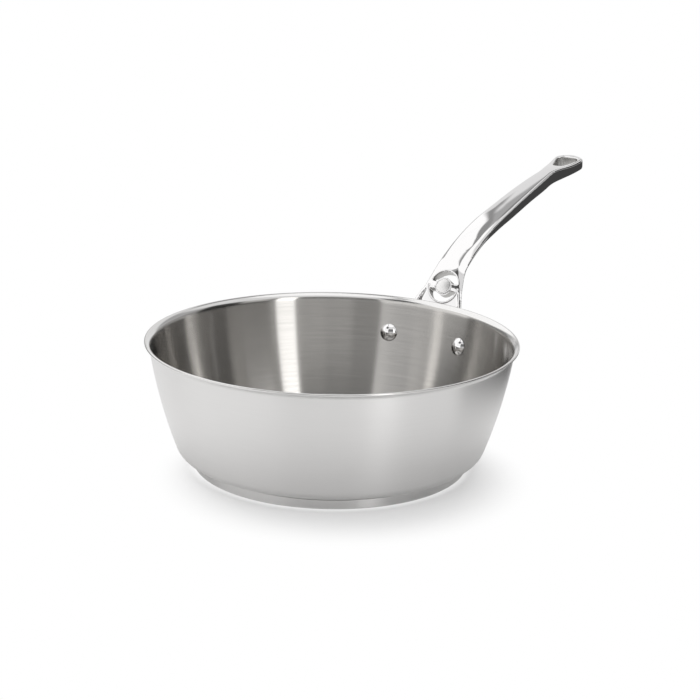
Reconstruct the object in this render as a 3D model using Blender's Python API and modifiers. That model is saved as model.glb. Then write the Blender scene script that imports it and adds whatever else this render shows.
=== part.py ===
"""Conical saute pan in stainless steel with a cast, riveted handle.

The pan's axis is Z, with the origin on the underside of the base. The handle
points along +X, and the pan is the same on both sides of the XZ plane.
All sizes are in metres.
"""
from collections import namedtuple
from math import acos, asin, atan2, cos, hypot, pi, radians, sin, sqrt, tan

import bmesh
import bpy
import numpy as np
from mathutils import Matrix, Vector

MM = 0.001

# Vessel: one sheet, from the floor through a tight corner and a long wall arc to a flared rim
RIM_RADIUS = 124.0 * MM
HEIGHT = 85.6 * MM
SHEET = 1.6 * MM
CORNER_START_RADIUS = 94.0 * MM
CORNER_RADIUS = 10.5 * MM
WALL_CURVE_RADIUS = 340.0 * MM
FLARE_RADIUS = 5.0 * MM
FLARE_END_HEADING = radians(18)

# Base: an aluminium disc closed in a steel cap, under a low step pressed into the floor
BASE_RADIUS = 92.0 * MM
BASE_HEIGHT = 6.2 * MM
CAP_SHEET = 0.8 * MM
CAP_EDGE_RADIUS = 1.0 * MM
STEP_RISE = 1.6 * MM
STEP_SETBACK = 0.9 * MM
STEP_BEND = 0.5 * MM

# Rivets: two, side by side, square to the wall
RIVET_HEIGHT = 60.0 * MM
RIVET_SPACING = 59.3 * MM
SHANK_DIAMETER = 6.4 * MM
HEAD_DIAMETER = 12.5 * MM
HEAD_RISE = 2.8 * MM
TAIL_DIAMETER = 9.6 * MM
TAIL_RISE = 2.2 * MM

# Handle foot: a saddle plate with an ear round each rivet
SADDLE_THICKNESS = 4.0 * MM
EAR_RADIUS = 9.5 * MM
SADDLE_TOP_RADIUS = 6.0 * MM
SADDLE_TOP_SPACING = 34.0 * MM
SADDLE_TOP_BELOW_RIM = 15.0 * MM
HEEL_BELOW_RIVETS = 8.0 * MM
HEEL_ABOVE_RIVETS = 9.0 * MM
HEEL_WIDTH = 40.0 * MM
HEEL_SHOULDER_WIDTH = 45.0 * MM
HEEL_PROUD = 1.0 * MM
SHOULDER_CLEAR_OF_WALL = 2.4 * MM
SHOULDER_THICKNESS = 9.0 * MM

# Handle eye: a round boss on two bridges between crescent openings
EYE_OUT = 12.2 * MM
EYE_UP = 9.4 * MM
EYE_OPENING_DIAMETER = 23.0 * MM
BOSS_DIAMETER = 12.8 * MM
BRIDGE_WIDTH = 6.0 * MM
MEDALLION_DIAMETER = 10.4 * MM
MEDALLION_THICKNESS = 1.3 * MM
MEDALLION_RISE = 0.3 * MM
MEDALLION_SEAT = 1.0 * MM
RAIL_WIDTH = 3.6 * MM
WEB_RECESS = 3.0 * MM
WEB_LENGTH = 24.0 * MM

# Handle tip: a flat head with straight flanks that spread to a blunt round end
TIP_OUT = 190.5 * MM
TIP_UP = 79.3 * MM
TIP_TILT = radians(12.5)
TIP_WIDTH = 25.2 * MM
TIP_LENGTH = 8.8 * MM
TIP_TAPER = radians(12.5)
TIP_FLANK = 26.0 * MM
TIP_FULLNESS = 2.5
TIP_FACET = 0.9 * MM
TIP_THICKNESS = 9.3 * MM
TIP_UNDERCUT = 0.5 * MM
TIP_BLEND = 2.4 * MM
TIP_CLOSE = 0.97

# Hanging hole: three rounded corners, the near one towards the pan
HOLE_NEAR_BACK = 12.0 * MM
HOLE_NEAR_RADIUS = 4.9 * MM
HOLE_FAR_BACK = 0.6 * MM
HOLE_FAR_RADIUS = 4.6 * MM
HOLE_FAR_SPACING = 8.4 * MM
HOLE_CHAMFER = 0.6 * MM

# Section of the cast handle: a crowned top, and a round along each lower edge
CROWN = 0.5 * MM
CROWN_POINT = 0.55
LOWER_ROUND = 1.4 * MM

# Fits
SEAT_GAP = 0.3 * MM
SHANK_GAP = 0.3 * MM

# Fineness
TURN_STEPS = 64
ARC_STEPS = 5
WALL_STEPS = 5
EDGE_STEPS = 4
BEND_STEPS = 1
RIVET_STEPS = 24
DOME_STEPS = 5
ROUND_STEPS = 2
SADDLE_STEPS = 4
HANDLE_SECTIONS = 30
FLANK_SECTIONS = 7
END_SECTIONS = 9
HOLE_STEPS = 7
CUT_DEPTH = 30.0 * MM
MERGE = 0.01 * MM
SHARP_ANGLE = radians(30)

Station = namedtuple("Station", "out up flat facet drop thickness undercut")

# The handle's top line and section, from the rim to the neck: how far out from the rim
# edge and up from the rim top, the flat on top, the slanted facet beside it and its drop,
# the depth of the casting, and how far its lower side is drawn in
GRIP_STATIONS = (
    Station(5.3 * MM, -0.4 * MM, 33.0 * MM, 3.6 * MM, 0.5 * MM, 8.0 * MM, 5.0 * MM),
    Station(EYE_OUT, EYE_UP, 25.0 * MM, 3.4 * MM, 0.9 * MM, 8.2 * MM, 4.5 * MM),
    Station(20.0 * MM, 21.8 * MM, 15.6 * MM, 5.3 * MM, 2.0 * MM, 9.1 * MM, 3.8 * MM),
    Station(29.5 * MM, 30.0 * MM, 16.5 * MM, 3.9 * MM, 2.4 * MM, 9.9 * MM, 3.4 * MM),
    Station(46.5 * MM, 39.9 * MM, 17.4 * MM, 2.8 * MM, 2.0 * MM, 8.8 * MM, 2.6 * MM),
    Station(69.0 * MM, 49.4 * MM, 16.5 * MM, 2.5 * MM, 1.3 * MM, 9.6 * MM, 2.0 * MM),
    Station(94.0 * MM, 57.4 * MM, 13.9 * MM, 2.6 * MM, 1.1 * MM, 10.6 * MM, 1.4 * MM),
    Station(121.0 * MM, 65.2 * MM, 13.3 * MM, 1.7 * MM, 0.9 * MM, 10.8 * MM, 1.0 * MM),
    Station(146.0 * MM, 71.6 * MM, 11.6 * MM, 0.9 * MM, 1.0 * MM, 11.6 * MM, 0.8 * MM),
    Station(162.0 * MM, 75.0 * MM, 9.4 * MM, 0.6 * MM, 0.6 * MM, 11.2 * MM, 0.8 * MM),
)


# Scene and helpers

def clear_scene():
    for old in list(bpy.data.objects):
        bpy.data.objects.remove(old, do_unlink=True)


def new_collection(name):
    collection = bpy.data.collections.new(name)
    bpy.context.scene.collection.children.link(collection)
    return collection


def new_material(name, color, roughness, metallic=1.0):
    material = bpy.data.materials.new(name)
    material.use_nodes = True
    shader = material.node_tree.nodes["Principled BSDF"]
    shader.inputs["Base Color"].default_value = (*color, 1.0)
    shader.inputs["Roughness"].default_value = roughness
    shader.inputs["Metallic"].default_value = metallic
    material.diffuse_color = (*color, 1.0)
    return material


def add_part(name, mesh, material):
    part = bpy.data.objects.new(name, mesh)
    part_collection.objects.link(part)
    mesh.materials.append(material)
    return part


def add_cutter(name, mesh):
    cutter = bpy.data.objects.new(name, mesh)
    cutter_collection.objects.link(cutter)
    cutter.hide_render = True
    cutter.display_type = 'WIRE'
    return cutter


def combine(target, other, operation):
    modifier = target.modifiers.new(other.name, 'BOOLEAN')
    modifier.operation = operation
    modifier.object = other
    modifier.solver = 'EXACT'


def turn(owner, steps):
    """Revolve the owner's profile round Z."""
    screw = owner.modifiers.new("turned", 'SCREW')
    screw.angle = 2 * pi
    screw.steps = steps
    screw.render_steps = steps
    screw.use_merge_vertices = True
    screw.merge_threshold = MERGE


def profile_mesh(name, points, closed=False):
    """A chain of edges in the XZ plane, from (radius, height) pairs."""
    mesh = bpy.data.meshes.new(name)
    verts = [(radius, 0.0, height) for radius, height in points]
    edges = [(i, i + 1) for i in range(len(verts) - 1)]
    if closed:
        edges.append((len(verts) - 1, 0))
    mesh.from_pydata(verts, edges, [])
    return mesh


def mesh_from_bmesh(name, shape):
    bmesh.ops.recalc_face_normals(shape, faces=shape.faces)
    mesh = bpy.data.meshes.new(name)
    shape.to_mesh(mesh)
    shape.free()
    return mesh


def cylinder_mesh(name, radius, depth, segments=RIVET_STEPS * 2):
    shape = bmesh.new()
    bmesh.ops.create_cone(shape, cap_ends=True, segments=segments, radius1=radius,
                          radius2=radius, depth=depth)
    return mesh_from_bmesh(name, shape)


def hull_mesh(name, points):
    """The convex solid round a set of points."""
    shape = bmesh.new()
    for point in points:
        shape.verts.new(point)
    hull = bmesh.ops.convex_hull(shape, input=shape.verts)
    spare = [item for item in hull["geom_interior"] if isinstance(item, bmesh.types.BMVert)]
    bmesh.ops.delete(shape, geom=spare, context='VERTS')
    return mesh_from_bmesh(name, shape)


def loft_mesh(name, rings):
    """Closed rings of points, joined one to the next, with the first and last filled."""
    shape = bmesh.new()
    loops = [[shape.verts.new(point) for point in ring] for ring in rings]
    for lower, upper in zip(loops, loops[1:]):
        for i in range(len(lower)):
            j = (i + 1) % len(lower)
            shape.faces.new((lower[i], lower[j], upper[j], upper[i]))
    shape.faces.new(loops[0])
    shape.faces.new(loops[-1][::-1])
    return mesh_from_bmesh(name, shape)


def finish(part):
    """Apply the part's modifiers, and shade it smooth between its sharp edges."""
    bpy.context.view_layer.update()
    evaluated = part.evaluated_get(bpy.context.evaluated_depsgraph_get())
    mesh = bpy.data.meshes.new_from_object(evaluated)
    part.modifiers.clear()
    part.data = mesh
    mesh.name = part.name
    mesh.shade_smooth()
    mesh.set_sharp_from_angle(angle=SHARP_ANGLE)


def flow(knots, values, where):
    """A smooth curve through the values at the knots, read at each place in where."""
    knots = np.asarray(knots)
    values = np.asarray(values)
    slopes = np.gradient(values, knots, axis=0)
    span = np.clip(np.searchsorted(knots, where) - 1, 0, len(knots) - 2)
    width = (knots[span + 1] - knots[span])[:, None]
    t = (where - knots[span])[:, None] / width
    start = (1 + 2 * t) * (1 - t) ** 2 * values[span] + t * (1 - t) ** 2 * width * slopes[span]
    end = t * t * (3 - 2 * t) * values[span + 1] + t * t * (t - 1) * width * slopes[span + 1]
    return start + end


def smooth_maximum(first, second, blend):
    """The larger of two values, with a fillet where they are nearly equal."""
    near = np.maximum(blend - np.abs(first - second), 0) / blend
    return np.maximum(first, second) + near * near * blend / 4


# The vessel's sheet, drawn by its middle line

STEP_FLOOR = BASE_HEIGHT + SEAT_GAP + SHEET / 2
FLOOR = STEP_FLOOR + STEP_RISE
CORNER_MID = CORNER_RADIUS - SHEET / 2
WALL_MID = WALL_CURVE_RADIUS - SHEET / 2
FLARE_MID = FLARE_RADIUS + SHEET / 2


def wall_headings():
    """Where the wall arc starts and ends, so that the arcs meet the rim edge in tangents.

    A heading is the angle of the sheet from level. The three arcs' centres form a
    triangle with known sides, which gives both headings.
    """
    outer_side = WALL_MID + FLARE_MID
    inner_side = WALL_MID - CORNER_MID
    across = RIM_RADIUS - SHEET / 2 - CORNER_START_RADIUS + FLARE_MID * sin(FLARE_END_HEADING)
    up = HEIGHT - SHEET / 2 - FLOOR - CORNER_MID - FLARE_MID * cos(FLARE_END_HEADING)
    chord = hypot(across, up)
    corner = acos((outer_side ** 2 - inner_side ** 2 - chord ** 2) / (2 * inner_side * chord))
    start = atan2(up, across) - corner + pi / 2
    end = atan2(across + inner_side * sin(start), inner_side * cos(start) - up)
    return start, end


WALL_START, WALL_END = wall_headings()
WALL_CENTRE = (CORNER_START_RADIUS + CORNER_MID * sin(WALL_START) - WALL_MID * sin(WALL_START),
               FLOOR + CORNER_MID * (1 - cos(WALL_START)) + WALL_MID * cos(WALL_START))


def wall_heading_at(height):
    return acos((WALL_CENTRE[1] - height) / WALL_MID)


def wall_point(height, offset):
    """Radius and height of the wall square outwards from its middle line at a height."""
    heading = wall_heading_at(height)
    reach = WALL_MID + offset
    return WALL_CENTRE[0] + reach * sin(heading), WALL_CENTRE[1] - reach * cos(heading)


def arc(centre, radius, start, end, steps, side=1):
    """Points on an arc whose outward normal swings with the heading."""
    headings = [start + (end - start) * i / steps for i in range(steps + 1)]
    return [(centre[0] + side * radius * sin(h), centre[1] - side * radius * cos(h))
            for h in headings]


def sheet_line(offset):
    """The vessel from the axis to the rim, offset outwards from the sheet's middle line."""
    step_centre_in = (CORNER_START_RADIUS - STEP_SETBACK - STEP_BEND - SHEET,
                      STEP_FLOOR + STEP_BEND + SHEET / 2)
    step_centre_out = (step_centre_in[0] + 2 * STEP_BEND + SHEET, FLOOR - STEP_BEND - SHEET / 2)
    bend = STEP_BEND + SHEET / 2
    corner_centre = (CORNER_START_RADIUS, FLOOR + CORNER_MID)
    flare_reach = WALL_MID + FLARE_MID
    flare_centre = (WALL_CENTRE[0] + flare_reach * sin(WALL_END),
                    WALL_CENTRE[1] - flare_reach * cos(WALL_END))
    points = [(0.0, STEP_FLOOR - offset)]
    points += arc(step_centre_in, bend + offset, 0, pi / 2, BEND_STEPS)
    points += arc(step_centre_out, bend - offset, pi / 2, 0, BEND_STEPS, side=-1)
    points += arc(corner_centre, CORNER_MID + offset, 0, WALL_START, ARC_STEPS)
    points += arc(WALL_CENTRE, WALL_MID + offset, WALL_START, WALL_END, WALL_STEPS)[1:]
    points += arc(flare_centre, FLARE_MID - offset, WALL_END, FLARE_END_HEADING, ARC_STEPS,
                  side=-1)[1:]
    return points


# Pieces

def make_vessel(material):
    inside = sheet_line(-SHEET / 2)
    outside = sheet_line(SHEET / 2)
    edge_centre = (RIM_RADIUS - SHEET / 2, HEIGHT - SHEET / 2)
    edge = arc(edge_centre, SHEET / 2, FLARE_END_HEADING + pi, FLARE_END_HEADING,
               EDGE_STEPS)[1:-1]
    vessel = add_part("vessel", profile_mesh("vessel", inside + edge + outside[::-1]), material)
    turn(vessel, TURN_STEPS)
    return vessel


def make_base_cap(material):
    bend_centre = (BASE_RADIUS - CAP_EDGE_RADIUS, CAP_EDGE_RADIUS)
    inner_bend = CAP_EDGE_RADIUS - CAP_SHEET
    points = [(0.0, CAP_SHEET)]
    points += arc(bend_centre, inner_bend, 0, pi / 2, EDGE_STEPS)
    points += [(BASE_RADIUS - CAP_SHEET, BASE_HEIGHT), (BASE_RADIUS, BASE_HEIGHT)]
    points += arc(bend_centre, CAP_EDGE_RADIUS, pi / 2, 0, EDGE_STEPS)
    points += [(0.0, 0.0)]
    cap = add_part("base_cap", profile_mesh("base_cap", points), material)
    turn(cap, TURN_STEPS)
    return cap


def make_base_core(material):
    radius = BASE_RADIUS - CAP_SHEET - SEAT_GAP
    bottom = CAP_SHEET + SEAT_GAP
    top = STEP_FLOOR - SHEET / 2 - SEAT_GAP
    points = [(0.0, top), (radius, top), (radius, bottom + CAP_EDGE_RADIUS),
              (radius - CAP_EDGE_RADIUS, bottom), (0.0, bottom)]
    core = add_part("base_core", profile_mesh("base_core", points), material)
    turn(core, TURN_STEPS)
    return core


def rivet_frame(side):
    """The place of a rivet: its Z runs outwards, square to the wall, from the inner face."""
    radius, height = wall_point(RIVET_HEIGHT, -SHEET / 2)
    angle = side * asin(RIVET_SPACING / 2 / radius)
    heading = wall_heading_at(RIVET_HEIGHT)
    place = Matrix.Rotation(angle, 4, 'Z') @ Matrix.Translation((radius, 0, height))
    return place @ Matrix.Rotation(pi - heading, 4, 'Y')


def dome(radius, rise, base):
    """A low dome standing on a base height: points from its edge to its top."""
    curve = (radius ** 2 + rise ** 2) / (2 * rise)
    spread = asin(radius / curve)
    angles = [spread * (1 - i / DOME_STEPS) for i in range(DOME_STEPS + 1)]
    return [(curve * sin(a), base + curve * cos(a) - curve + rise) for a in angles]


def make_rivet(name, side, material):
    """A domed head inside the pan, a shank through wall and saddle, and a formed tail."""
    inner_radius = wall_point(RIVET_HEIGHT, -SHEET / 2)[0]
    sag = inner_radius - sqrt(inner_radius ** 2 - (HEAD_DIAMETER / 2) ** 2)
    head_base = SEAT_GAP + sag
    tail_base = SHEET + SEAT_GAP + SADDLE_THICKNESS + SEAT_GAP
    shank = SHANK_DIAMETER / 2
    tail = dome(TAIL_DIAMETER / 2, TAIL_RISE, tail_base)
    head = dome(HEAD_DIAMETER / 2, HEAD_RISE, head_base)
    points = tail[::-1] + [(shank, tail_base), (shank, -head_base)]
    points += [(radius, -height) for radius, height in head]
    rivet = add_part(name, profile_mesh(name, points), material)
    turn(rivet, RIVET_STEPS)
    rivet.matrix_world = rivet_frame(side)
    return rivet


def rivet_hole(name, side):
    depth = SHEET + SADDLE_THICKNESS + CUT_DEPTH
    cutter = add_cutter(name, cylinder_mesh(name, SHANK_DIAMETER / 2 + SHANK_GAP, depth,
                                            RIVET_STEPS))
    cutter.matrix_world = rivet_frame(side)
    return cutter


# The cast handle

def top_line():
    """Stations from the heel on the saddle to the neck, as radius and height."""
    heel_height = RIVET_HEIGHT - HEEL_BELOW_RIVETS
    shoulder_height = RIVET_HEIGHT + HEEL_ABOVE_RIVETS
    proud = SEAT_GAP + SADDLE_THICKNESS + HEEL_PROUD
    heel = wall_point(heel_height, SHEET / 2)
    shoulder = wall_point(shoulder_height, SHEET / 2 + SHOULDER_CLEAR_OF_WALL)
    heel_facet = RAIL_WIDTH / 2
    rows = [(*heel, HEEL_WIDTH - 2 * heel_facet, heel_facet, heel_facet, proud, heel_facet),
            (*shoulder, HEEL_SHOULDER_WIDTH - 2 * RAIL_WIDTH, RAIL_WIDTH, RAIL_WIDTH / 2,
             SHOULDER_THICKNESS, RAIL_WIDTH)]
    for station in GRIP_STATIONS:
        rows.append((RIM_RADIUS + station.out, HEIGHT + station.up, *station[2:]))
    tip = (RIM_RADIUS + TIP_OUT, HEIGHT + TIP_UP)
    neck = GRIP_STATIONS[-1]
    for along in (-TIP_LENGTH, TIP_LENGTH):
        rows.append((tip[0] + along * cos(TIP_TILT), tip[1] + along * sin(TIP_TILT),
                     neck.flat, TIP_FACET, TIP_FACET, TIP_THICKNESS, TIP_UNDERCUT))
    return np.array(rows)


def tip_width(past):
    """Width of the tip at a distance past its widest place: straight flanks, a blunt end."""
    flank = TIP_WIDTH + 2 * past * tan(TIP_TAPER)
    reach = np.clip(past / TIP_LENGTH, 0.0, 1.0)
    blunt = TIP_WIDTH * (1 - reach ** TIP_FULLNESS) ** (1 / TIP_FULLNESS)
    return -smooth_maximum(-flank, -blunt, 2 * TIP_BLEND)


def section(flat, facet, drop, thickness, undercut):
    """Half of the casting's outline from the middle of its top to the middle of its
    underside, as (sideways, depth) pairs."""
    edge = flat / 2
    side = edge + facet
    lower = side - undercut
    corner = min(LOWER_ROUND, lower / 2)
    shoulder = CROWN + drop
    foot = thickness - corner
    points = [(0.0, 0.0), (edge * CROWN_POINT, CROWN * CROWN_POINT ** 2), (edge, CROWN),
              (side, shoulder), ((side + lower) / 2, (shoulder + foot) / 2)]
    points += arc((lower - corner, foot), corner, pi / 2, pi, ROUND_STEPS)
    return points + [(0.0, thickness)]


def handle_body():
    """Loft of the casting's sections along its top line, ending in the blunt tip."""
    rows = top_line()
    steps = np.hypot(*np.diff(rows[:, :2], axis=0).T)
    knots = np.concatenate([[0.0], np.cumsum(steps)])
    widest = knots[-1] - TIP_LENGTH
    run = np.linspace(0.0, widest - TIP_FLANK, HANDLE_SECTIONS)
    flank = np.linspace(run[-1], widest, FLANK_SECTIONS + 1)[1:]
    sweep = np.linspace(0.0, TIP_CLOSE, END_SECTIONS + 1)[1:] * pi / 2
    end = widest + TIP_LENGTH * np.sin(sweep) ** (2 / TIP_FULLNESS)
    where = np.concatenate([run, flank, end])
    values = flow(knots, rows, where)
    slopes = np.gradient(values[:, :2], where, axis=0)
    slopes /= np.hypot(*slopes.T)[:, None]
    grip = values[:, 2] + 2 * values[:, 3]
    head = tip_width(where - widest)
    width = np.where(where < widest, smooth_maximum(grip, head, 2 * TIP_BLEND), head)
    rings = []
    for i in range(len(where)):
        facet = min(values[i, 3], width[i] / 4)
        undercut = min(values[i, 6], width[i] / 4)
        half = section(width[i] - 2 * facet, facet, values[i, 4], values[i, 5], undercut)
        outline = half + [(-sideways, depth) for sideways, depth in half[-2:0:-1]]
        along = Vector((slopes[i, 0], 0, slopes[i, 1]))
        up = Vector((-along.z, 0, along.x))
        centre = Vector((values[i, 0], 0, values[i, 1]))
        rings.append([centre + Vector((0, sideways, 0)) - up * depth
                      for sideways, depth in outline])
    return loft_mesh("handle", rings)


def face_frame(out, up, slope):
    """A frame on the handle's top face: X along the handle, Z square out of the face."""
    return (Matrix.Translation((RIM_RADIUS + out, 0, HEIGHT + up))
            @ Matrix.Rotation(-slope, 4, 'Y'))


def eye_slope():
    below, above = GRIP_STATIONS[0], GRIP_STATIONS[2]
    return atan2(above.up - below.up, above.out - below.out)


def saddle_ring():
    """A turned band that follows the wall, thick as the saddle."""
    low = RIVET_HEIGHT - EAR_RADIUS - SADDLE_THICKNESS
    high = HEIGHT - SADDLE_TOP_BELOW_RIM + SADDLE_THICKNESS
    heights = np.linspace(high, low, SADDLE_STEPS + 1)
    inner = [wall_point(height, SHEET / 2 - SEAT_GAP) for height in heights]
    outer = [wall_point(height, SHEET / 2 + SEAT_GAP + SADDLE_THICKNESS) for height in heights]
    ring = add_cutter("saddle_ring", profile_mesh("saddle_ring", outer + inner[::-1], True))
    turn(ring, TURN_STEPS)
    return ring


def saddle_blank():
    """The saddle's outline, seen square on: two ears joined by a body with a rounded top."""
    corners = [(RIVET_SPACING / 2, RIVET_HEIGHT, EAR_RADIUS),
               (SADDLE_TOP_SPACING / 2, HEIGHT - SADDLE_TOP_BELOW_RIM - SADDLE_TOP_RADIUS,
                SADDLE_TOP_RADIUS)]
    inner = RIM_RADIUS - 2 * CUT_DEPTH
    outer = RIM_RADIUS + CUT_DEPTH
    points = []
    for side in (-1, 1):
        for sideways, height, radius in corners:
            for i in range(RIVET_STEPS):
                angle = 2 * pi * i / RIVET_STEPS
                across = side * sideways + radius * cos(angle)
                rise = height + radius * sin(angle)
                points += [(inner, across, rise), (outer, across, rise)]
    return add_cutter("saddle_blank", hull_mesh("saddle_blank", points))


def pan_envelope():
    """The vessel's outside with the seat gap added, solid to the axis."""
    outside = sheet_line(SHEET / 2 + SEAT_GAP)
    rim = RIM_RADIUS + SEAT_GAP
    points = [(0.0, HEIGHT + CUT_DEPTH), (rim, HEIGHT + CUT_DEPTH), (rim, outside[-1][1])]
    points += outside[::-1]
    envelope = add_cutter("pan_envelope", profile_mesh("pan_envelope", points))
    turn(envelope, TURN_STEPS)
    return envelope


def eye_openings(frame):
    """Two crescents round the boss, left apart by the bridges."""
    opening = add_cutter("eye_openings", cylinder_mesh("eye_openings", EYE_OPENING_DIAMETER / 2,
                                                       CUT_DEPTH))
    boss = add_cutter("eye_boss", cylinder_mesh("eye_boss", BOSS_DIAMETER / 2, 2 * CUT_DEPTH))
    bridge_shape = bmesh.new()
    bmesh.ops.create_cube(bridge_shape, size=1.0, matrix=Matrix.Diagonal(
        (BRIDGE_WIDTH, 2 * EYE_OPENING_DIAMETER, 2 * CUT_DEPTH, 1.0)))
    bridge = add_cutter("eye_bridge", mesh_from_bmesh("eye_bridge", bridge_shape))
    for cutter in (opening, boss, bridge):
        cutter.matrix_world = frame
    combine(opening, boss, 'DIFFERENCE')
    combine(opening, bridge, 'DIFFERENCE')
    return opening


def web_pocket(frame):
    """The sunk web between the foot's two rails, deeper towards the rim."""
    rim, eye = GRIP_STATIONS[:2]
    fall = hypot(eye.out - rim.out, eye.up - rim.up)
    top_half = eye.flat / 2 + eye.facet - RAIL_WIDTH
    low_half = rim.flat / 2 + rim.facet - RAIL_WIDTH
    spread = top_half + (low_half - top_half) * WEB_LENGTH / fall
    above = SADDLE_THICKNESS
    depth = CROWN + WEB_RECESS * WEB_LENGTH / fall
    points = []
    for side in (-1, 1):
        points += [(0.0, side * top_half, 0.0), (0.0, side * top_half, above),
                   (-WEB_LENGTH, side * spread, -depth), (-WEB_LENGTH, side * spread, above)]
    pocket = add_cutter("web_pocket", hull_mesh("web_pocket", points))
    pocket.matrix_world = frame
    return pocket


def hole_ring(growth, height):
    """The hanging hole's outline at a height, grown by an even margin: an arc round each
    of its corners, from one tangent line to the next."""
    spread = HOLE_FAR_SPACING / 2
    along = HOLE_NEAR_BACK - HOLE_FAR_BACK
    lean = atan2(spread, along) + acos((HOLE_NEAR_RADIUS - HOLE_FAR_RADIUS) / hypot(spread, along))
    corners = [(-HOLE_FAR_BACK, spread, HOLE_FAR_RADIUS, 0.0, lean),
               (-HOLE_NEAR_BACK, 0.0, HOLE_NEAR_RADIUS, lean, 2 * pi - lean),
               (-HOLE_FAR_BACK, -spread, HOLE_FAR_RADIUS, -lean, 0.0)]
    ring = []
    for centre_along, centre_across, radius, first, last in corners:
        for angle in np.linspace(first, last, HOLE_STEPS + 1):
            ring.append((centre_along + (radius + growth) * cos(angle),
                         centre_across + (radius + growth) * sin(angle), height))
    return ring


def hanging_hole():
    """A hole right through the tip, with a chamfer at each face."""
    flared = HOLE_CHAMFER + CUT_DEPTH
    rings = [hole_ring(flared, CUT_DEPTH), hole_ring(HOLE_CHAMFER, 0.0),
             hole_ring(0.0, -HOLE_CHAMFER), hole_ring(0.0, HOLE_CHAMFER - TIP_THICKNESS),
             hole_ring(HOLE_CHAMFER, -TIP_THICKNESS), hole_ring(flared, -TIP_THICKNESS - CUT_DEPTH)]
    hole = add_cutter("hanging_hole", loft_mesh("hanging_hole", rings))
    hole.matrix_world = face_frame(TIP_OUT, TIP_UP, TIP_TILT)
    return hole


def make_handle(material, rivet_holes):
    handle = add_part("handle", handle_body(), material)
    eye = face_frame(EYE_OUT, EYE_UP, eye_slope())
    ring = saddle_ring()
    combine(ring, saddle_blank(), 'INTERSECT')
    combine(handle, ring, 'UNION')
    combine(handle, pan_envelope(), 'DIFFERENCE')
    combine(handle, web_pocket(eye), 'DIFFERENCE')
    combine(handle, eye_openings(eye), 'DIFFERENCE')
    for hole in [hanging_hole()] + rivet_holes:
        combine(handle, hole, 'DIFFERENCE')
    seat = add_cutter("medallion_seat", cylinder_mesh(
        "medallion_seat", MEDALLION_DIAMETER / 2 + SEAT_GAP, 2 * MEDALLION_SEAT))
    seat.matrix_world = eye
    combine(handle, seat, 'DIFFERENCE')
    return handle


def make_medallion(material):
    """A plain disc with a low dome, sunk in the boss."""
    base = SEAT_GAP - MEDALLION_SEAT
    edge_top = base + MEDALLION_THICKNESS - MEDALLION_RISE
    points = dome(MEDALLION_DIAMETER / 2, MEDALLION_RISE, edge_top)[::-1]
    points += [(MEDALLION_DIAMETER / 2, base), (0.0, base)]
    medallion = add_part("medallion", profile_mesh("medallion", points), material)
    turn(medallion, RIVET_STEPS * 2)
    medallion.matrix_world = face_frame(EYE_OUT, EYE_UP, eye_slope())
    return medallion


clear_scene()
part_collection = new_collection("saute_pan")
cutter_collection = new_collection("cutters")
brushed_steel = new_material("brushed_stainless_steel", (0.60, 0.59, 0.57), 0.32)
polished_steel = new_material("polished_cast_stainless_steel", (0.70, 0.70, 0.69), 0.08)
aluminium = new_material("aluminium", (0.75, 0.75, 0.76), 0.45)

holes = [rivet_hole("hole_left", 1), rivet_hole("hole_right", -1)]
vessel = make_vessel(brushed_steel)
for hole in holes:
    combine(vessel, hole, 'DIFFERENCE')
pieces = [
    vessel,
    make_base_cap(brushed_steel),
    make_base_core(aluminium),
    make_handle(polished_steel, holes),
    make_medallion(polished_steel),
    make_rivet("rivet_left", 1, polished_steel),
    make_rivet("rivet_right", -1, polished_steel),
]
for piece in pieces:
    finish(piece)
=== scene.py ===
from collections import namedtuple
from math import acos, asin, atan2, cos, hypot, pi, radians, sin, sqrt, tan

import bpy
import numpy as np
from mathutils import Matrix, Vector


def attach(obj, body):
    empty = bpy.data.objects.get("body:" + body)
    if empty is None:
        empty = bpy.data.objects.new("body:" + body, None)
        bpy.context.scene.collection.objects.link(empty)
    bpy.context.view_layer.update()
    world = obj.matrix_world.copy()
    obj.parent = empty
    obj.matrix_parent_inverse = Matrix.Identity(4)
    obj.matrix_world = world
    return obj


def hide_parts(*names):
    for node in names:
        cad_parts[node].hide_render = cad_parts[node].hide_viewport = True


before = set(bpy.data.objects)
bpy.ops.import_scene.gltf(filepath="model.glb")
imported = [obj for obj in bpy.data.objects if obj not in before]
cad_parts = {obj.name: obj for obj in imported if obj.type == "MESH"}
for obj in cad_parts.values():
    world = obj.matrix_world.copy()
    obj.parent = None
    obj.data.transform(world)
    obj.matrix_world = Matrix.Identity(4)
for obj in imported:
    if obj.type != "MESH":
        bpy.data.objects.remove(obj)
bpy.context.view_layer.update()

MM = 0.001

# Vessel: one sheet, from the floor through a tight corner and a long wall arc to a flared rim
RIM_RADIUS = 124.0 * MM
HEIGHT = 85.6 * MM
SHEET = 1.6 * MM
CORNER_START_RADIUS = 94.0 * MM
CORNER_RADIUS = 10.5 * MM
WALL_CURVE_RADIUS = 340.0 * MM
FLARE_RADIUS = 4.2 * MM
FLARE_END_HEADING = radians(18)
# Faces of the flare that look up more than this have the rim's buffed finish
# They keep the steel's light colour, free of the painted shade inside
RIM_FACING = 0.55

# Base: a disc in a steel cap, under a low step pressed into the floor
BASE_RADIUS = 92.0 * MM
BASE_HEIGHT = 6.2 * MM
CAP_SHEET = 0.8 * MM
CAP_EDGE_RADIUS = 1.0 * MM
STEP_RISE = 1.6 * MM
STEP_SETBACK = 0.9 * MM
STEP_BEND = 0.5 * MM
# Left between any two pieces that touch
SEAT_GAP = 0.3 * MM

# Rivets
RIVET_HEIGHT = 60.0 * MM
RIVET_SPACING = 59.3 * MM
SHANK_DIAMETER = 6.4 * MM
HEAD_DIAMETER = 12.5 * MM
HEAD_RISE = 2.8 * MM
TAIL_DIAMETER = 9.6 * MM
TAIL_RISE = 2.2 * MM

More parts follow.
